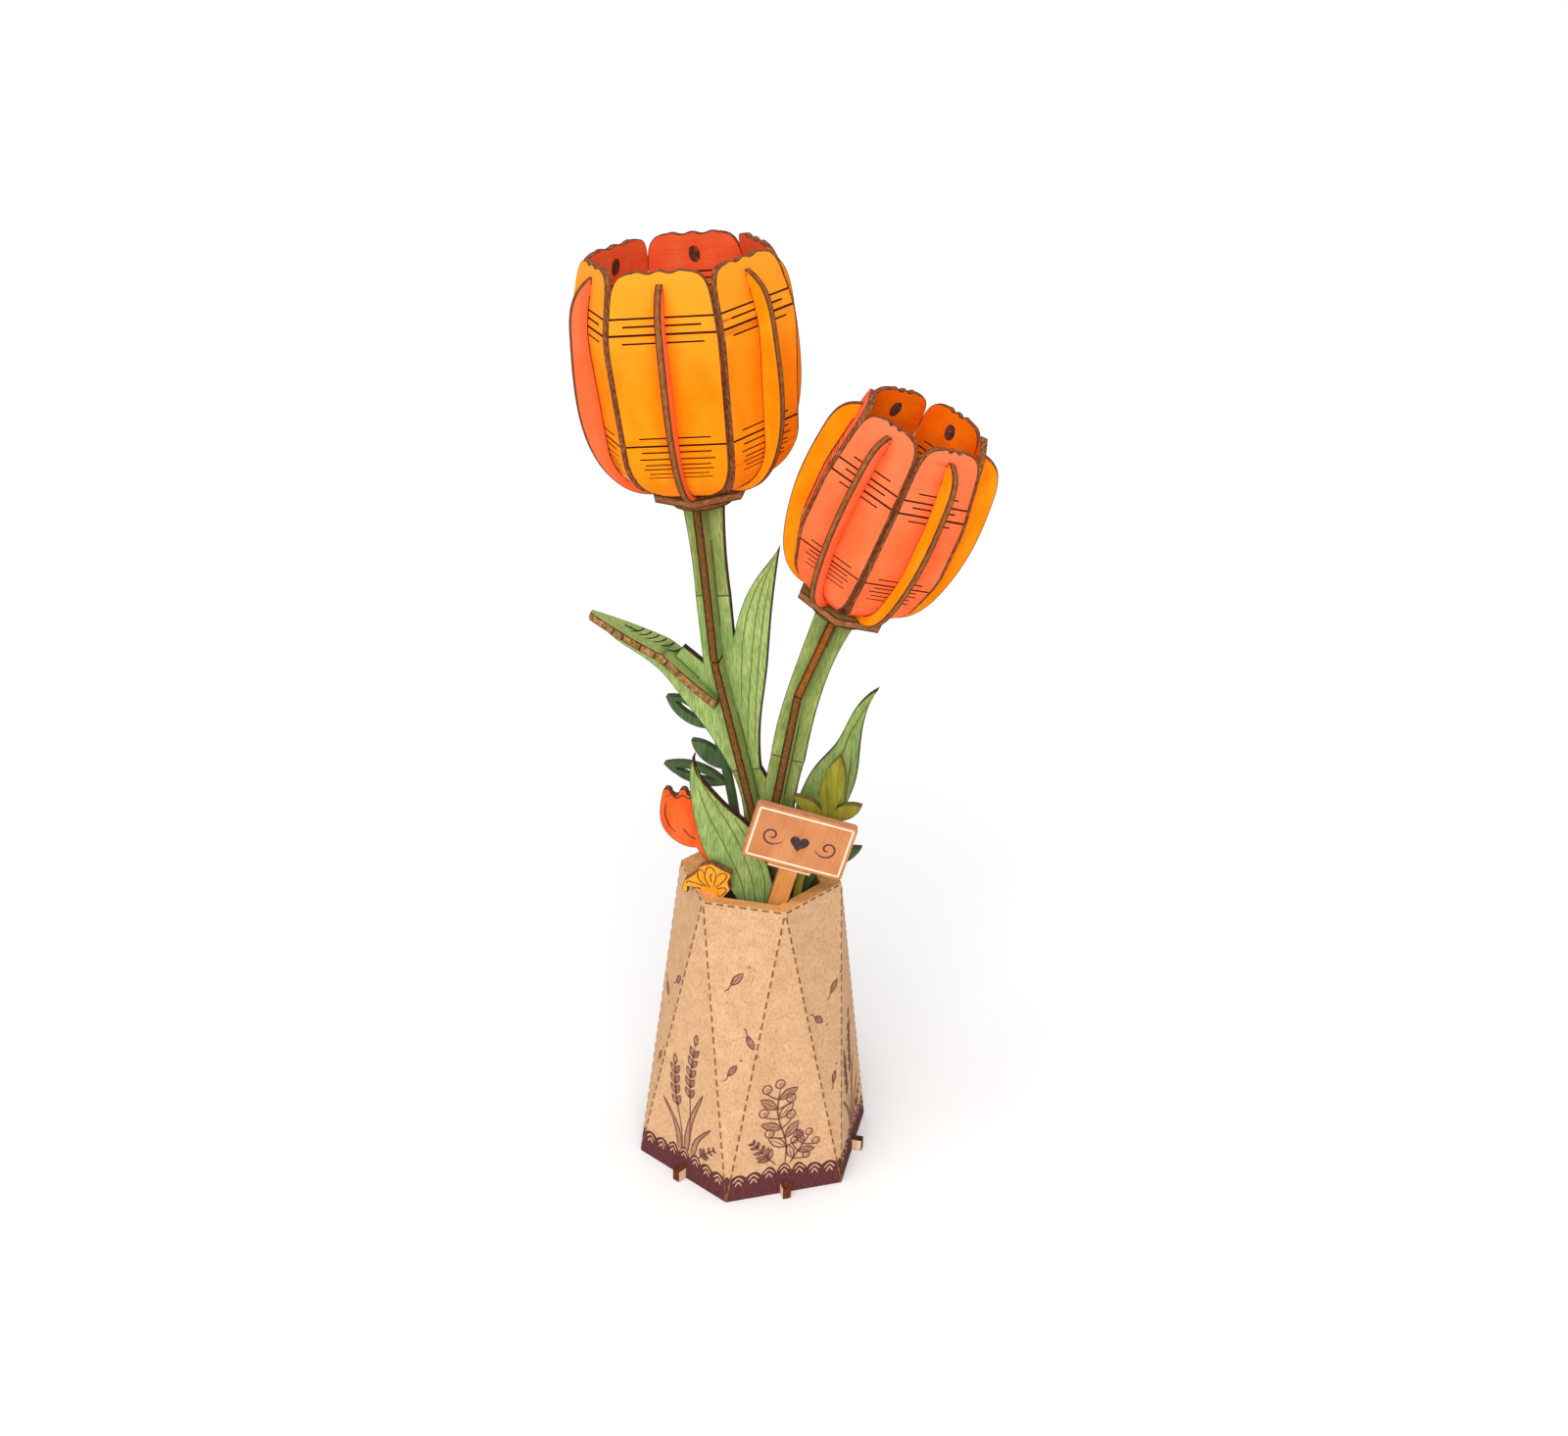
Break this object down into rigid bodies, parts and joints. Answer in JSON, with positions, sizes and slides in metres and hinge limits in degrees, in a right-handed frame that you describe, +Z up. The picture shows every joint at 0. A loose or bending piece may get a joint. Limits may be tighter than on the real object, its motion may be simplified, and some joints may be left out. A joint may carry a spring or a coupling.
{
  "type": "wooden tulips ornament",
  "caption": "Laser-cut plywood tulips with ribbed cup heads on a forked stem, standing with leaves, a bud, a butterfly and a blank sign in a folded kraft-card vase.",
  "frame": {"origin": "on the table under the middle of the vase, in the plane of its foot boards' lower edges", "axes": "+Z up along the vase axis; the stem boards lie in the XZ plane, their front faces -Y and the bent leaf is on the -X side"},
  "size_m": [0.0927, 0.0582, 0.2229],
  "materials": {
    "kraft_card": "matte printed kraft card",
    "board_edge_brown": "plywood with laser-burnt edges",
    "stem_green": "printed plywood, laser-burnt edges",
    "leaf_green": "printed plywood, laser-burnt edges",
    "olive": "printed plywood, laser-burnt edges",
    "dark_green": "printed plywood, laser-burnt edges",
    "tall_petal": "printed plywood, laser-burnt edges",
    "short_petal": "printed plywood, laser-burnt edges",
    "petal_rib": "plywood with laser-burnt edges",
    "calyx": "plywood with laser-burnt edges",
    "bud_orange": "printed plywood, laser-burnt edges",
    "butterfly_yellow": "printed plywood, laser-burnt edges",
    "sign_tan": "printed plywood, laser-burnt edges"
  },
  "bodies": {
    "root": {"vase_sleeve": "kraft_card", "foot_brace_left": "board_edge_brown", "foot_brace_right": "board_edge_brown", "deck_plate": "dark_green", "stem_fork_board": "stem_green", "tall_leaf_board": "stem_green", "tall_top_board": "stem_green", "tall_lower_rib": "board_edge_brown", "tall_upper_rib": "board_edge_brown", "short_top_board": "stem_green", "short_lower_rib": "board_edge_brown", "short_upper_rib": "board_edge_brown", "bent_leaf": "leaf_green", "front_leaf": "leaf_green", "right_leaf": "leaf_green", "olive_sprig": "olive", "dark_sprig": "dark_green", "low_sprig": "olive", "bud_tulip": "bud_orange", "butterfly": "butterfly_yellow", "sign_board": "sign_tan", "sign_stake": "sign_tan", "tall_calyx_plate": "calyx", "tall_calyx_washer": "calyx", "tall_petal_1": "tall_petal", "tall_petal_rib_1": "petal_rib", "tall_petal_2": "tall_petal", "tall_petal_rib_2": "petal_rib", "tall_petal_3": "tall_petal", "tall_petal_rib_3": "petal_rib", "tall_petal_4": "tall_petal", "tall_petal_rib_4": "petal_rib", "tall_petal_5": "tall_petal", "tall_petal_rib_5": "petal_rib", "tall_petal_6": "tall_petal", "tall_petal_rib_6": "petal_rib", "short_calyx_plate": "calyx", "short_calyx_washer": "calyx", "short_petal_1": "short_petal", "short_petal_rib_1": "petal_rib", "short_petal_2": "short_petal", "short_petal_rib_2": "petal_rib", "short_petal_3": "short_petal", "short_petal_rib_3": "petal_rib", "short_petal_4": "short_petal", "short_petal_rib_4": "petal_rib", "short_petal_5": "short_petal", "short_petal_rib_5": "petal_rib", "short_petal_6": "short_petal", "short_petal_rib_6": "petal_rib"}
  },
  "joints": []
}
